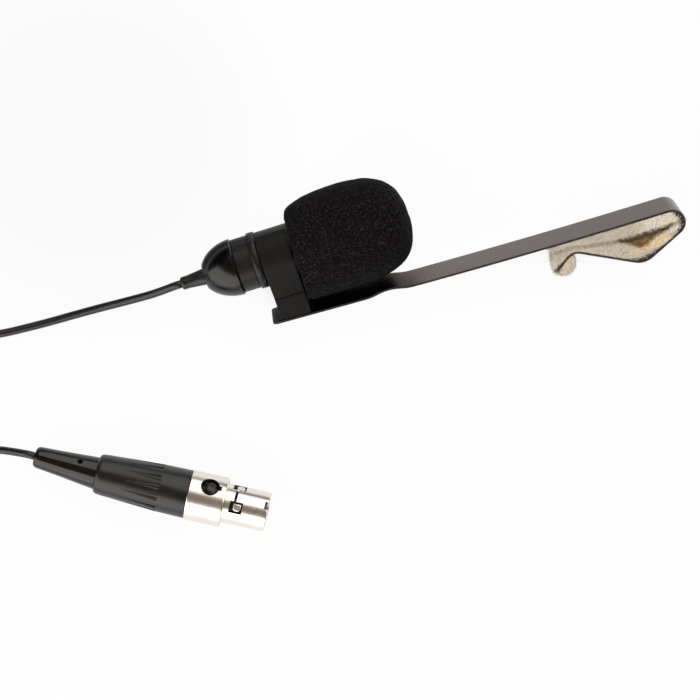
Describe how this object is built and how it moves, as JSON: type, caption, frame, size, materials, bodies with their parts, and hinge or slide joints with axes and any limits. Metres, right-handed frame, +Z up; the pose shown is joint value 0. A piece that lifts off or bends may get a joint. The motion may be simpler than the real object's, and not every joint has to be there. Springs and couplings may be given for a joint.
{
  "type": "lavalier microphone",
  "caption": "Clip-on instrument microphone with foam windscreen, swivelling collar, long spring-steel arm ending in a felt-lined hook clip, thin cord and latching round plug.",
  "frame": {"origin": "on the surface the microphone lies on, under the middle of the box around the head and its clip arm, the cord and plug left out", "axes": "+X along the head from its rear dome toward the foam and the hook clip, +Y away from the clip arm and the plug, +Z up from the surface"},
  "size_m": [0.1912, 0.068, 0.0229],
  "materials": {
    "satin_black_metal": "satin",
    "black_rubber": "satin",
    "bare_copper": "drawn",
    "wire_insulation": "matte",
    "crimp_metal": "drawn",
    "board_green": "solder mask",
    "component_tan": "matte",
    "capsule_metal": "satin",
    "fine_mesh": "woven",
    "black_foam": "open cell",
    "spring_steel": "heat-darkened satin",
    "rivet_metal": "satin",
    "cream_felt": "napped",
    "cord_jacket": "smooth",
    "tie_band": "matte",
    "grip_plastic": "satin",
    "chuck_plastic": "matte",
    "nickel_plate": "nickel plated",
    "insert_plastic": "matte",
    "gold_plate": "gold plated",
    "latch_metal": "drawn",
    "button_plastic": "gloss"
  },
  "bodies": {
    "microphone": {"rear_dome": "satin_black_metal", "cable_relief": "black_rubber", "cable_tail": "cord_jacket", "cable_crimp": "crimp_metal", "cable_leads": "wire_insulation", "barrel": "satin_black_metal", "stop_ring": "satin_black_metal", "preamp_board": "board_green", "board_components": "component_tan", "capsule_leads": "bare_copper", "capsule": "capsule_metal", "capsule_gasket": "black_rubber", "rear_mesh": "fine_mesh", "grille_mesh": "fine_mesh", "grille_cap": "satin_black_metal", "cord_mic_side": "cord_jacket", "cord_coil": "cord_jacket", "coil_tie": "tie_band", "cord_plug_side": "cord_jacket", "plug_boot": "black_rubber", "plug_grip": "grip_plastic", "plug_cable_tail": "cord_jacket", "cable_chuck": "chuck_plastic", "plug_leads": "wire_insulation", "plug_shell": "nickel_plate", "contact_insert": "insert_plastic", "contact_sockets": "gold_plate"},
    "windscreen": {"foam_windscreen": "black_foam"},
    "holder": {"holder_collar": "satin_black_metal", "holder_rivet": "rivet_metal", "spring_strip": "spring_steel", "felt_upper": "cream_felt"},
    "jaw": {"spring_jaw": "spring_steel", "felt_lower": "cream_felt"},
    "latch": {"latch_leaf": "latch_metal", "latch_button": "button_plastic"}
  },
  "joints": [
    {"name": "windscreen_pull", "type": "slide", "parent": "microphone", "child": "windscreen", "axis": [0.9991, 0, 0.0427], "range_m": [0, 0.03]},
    {"name": "holder_swivel", "type": "hinge", "parent": "microphone", "child": "holder", "pos_m": [-0.0419, 0.0074, 0.01057], "axis": [0.9991, 0, 0.0427], "continuous": true},
    {"name": "jaw_flex", "type": "hinge", "parent": "holder", "child": "jaw", "pos_m": [0.05466, -0.01013, 0.00772], "axis": [-0.0397, -0.3697, 0.9283], "range_deg": [0, 8], "stiffness_Nm_per_rad": 0.6},
    {"name": "latch_press", "type": "hinge", "parent": "microphone", "child": "latch", "pos_m": [-0.07062, -0.03321, 0.00831], "axis": [0.4146, 0.7123, -0.5664], "range_deg": [0, 2.4], "stiffness_Nm_per_rad": 0.2}
  ]
}
